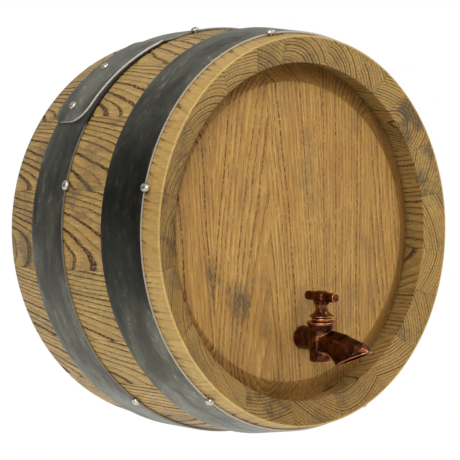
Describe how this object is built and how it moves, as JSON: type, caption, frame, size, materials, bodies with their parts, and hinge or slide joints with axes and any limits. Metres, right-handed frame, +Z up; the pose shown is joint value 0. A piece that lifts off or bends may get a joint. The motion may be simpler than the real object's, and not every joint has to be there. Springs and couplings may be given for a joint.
{
  "type": "half wine barrel",
  "caption": "Wall-hung front half of an oak wine barrel: bulged staves, a recessed bevelled head, riveted iron hoops and a quarter-turn plug tap.",
  "frame": {"origin": "centre of the wall plane, on the barrel's axis, in the back face of the hanging batten", "axes": "+Z up; the barrel's axis is Y, its head and tap face -Y and the wall is at +Y; +X is to the right seen from the front"},
  "size_m": [0.5226, 0.3372, 0.5226],
  "materials": {
    "stave_oak": "oiled oak with open ring pores",
    "head_oak": "oiled oak, vertical grain",
    "batten_oak": "sawn oak",
    "hoop_iron": "dark blued strip iron, mottled, worn bright on its edges",
    "bright_steel": "worn bright steel",
    "plain_steel": "zinc-plated steel",
    "aged_copper": "copper-plated brass aged dark brown, rubbed bright on its edges",
    "gasket_leather": "oiled leather"
  },
  "bodies": {
    "barrel": {"stave_01": "stave_oak", "stave_02": "stave_oak", "stave_03": "stave_oak", "stave_04": "stave_oak", "stave_05": "stave_oak", "stave_06": "stave_oak", "stave_07": "stave_oak", "stave_08": "stave_oak", "stave_09": "stave_oak", "stave_10": "stave_oak", "stave_11": "stave_oak", "stave_12": "stave_oak", "stave_13": "stave_oak", "stave_14": "stave_oak", "stave_15": "stave_oak", "stave_16": "stave_oak", "stave_17": "stave_oak", "stave_18": "stave_oak", "stave_19": "stave_oak", "stave_20": "stave_oak", "stave_21": "stave_oak", "head_board_1": "head_oak", "head_board_2": "head_oak", "head_board_3": "head_oak", "head_board_4": "head_oak", "head_board_5": "head_oak", "head_dowels": "head_oak", "front_hoop": "hoop_iron", "rear_hoop": "hoop_iron", "front_hoop_rivets": "bright_steel", "rear_hoop_rivets": "bright_steel", "front_hoop_nails": "bright_steel", "rear_hoop_nails": "bright_steel", "tap_body": "aged_copper", "tap_gasket": "gasket_leather", "tap_back_washer": "plain_steel", "tap_back_nut": "aged_copper", "wall_batten": "batten_oak", "batten_screws": "plain_steel", "hanger_plate_left": "bright_steel", "hanger_plate_right": "bright_steel", "hanger_screws": "plain_steel"},
    "key": {"tap_key": "aged_copper", "tap_key_washer": "plain_steel", "tap_key_screw": "plain_steel"}
  },
  "joints": [
    {"name": "key_turn", "type": "hinge", "parent": "barrel", "child": "key", "pos_m": [0, -0.2615, -0.1235], "axis": [0, 0, 1], "range_deg": [-90, 0]}
  ]
}
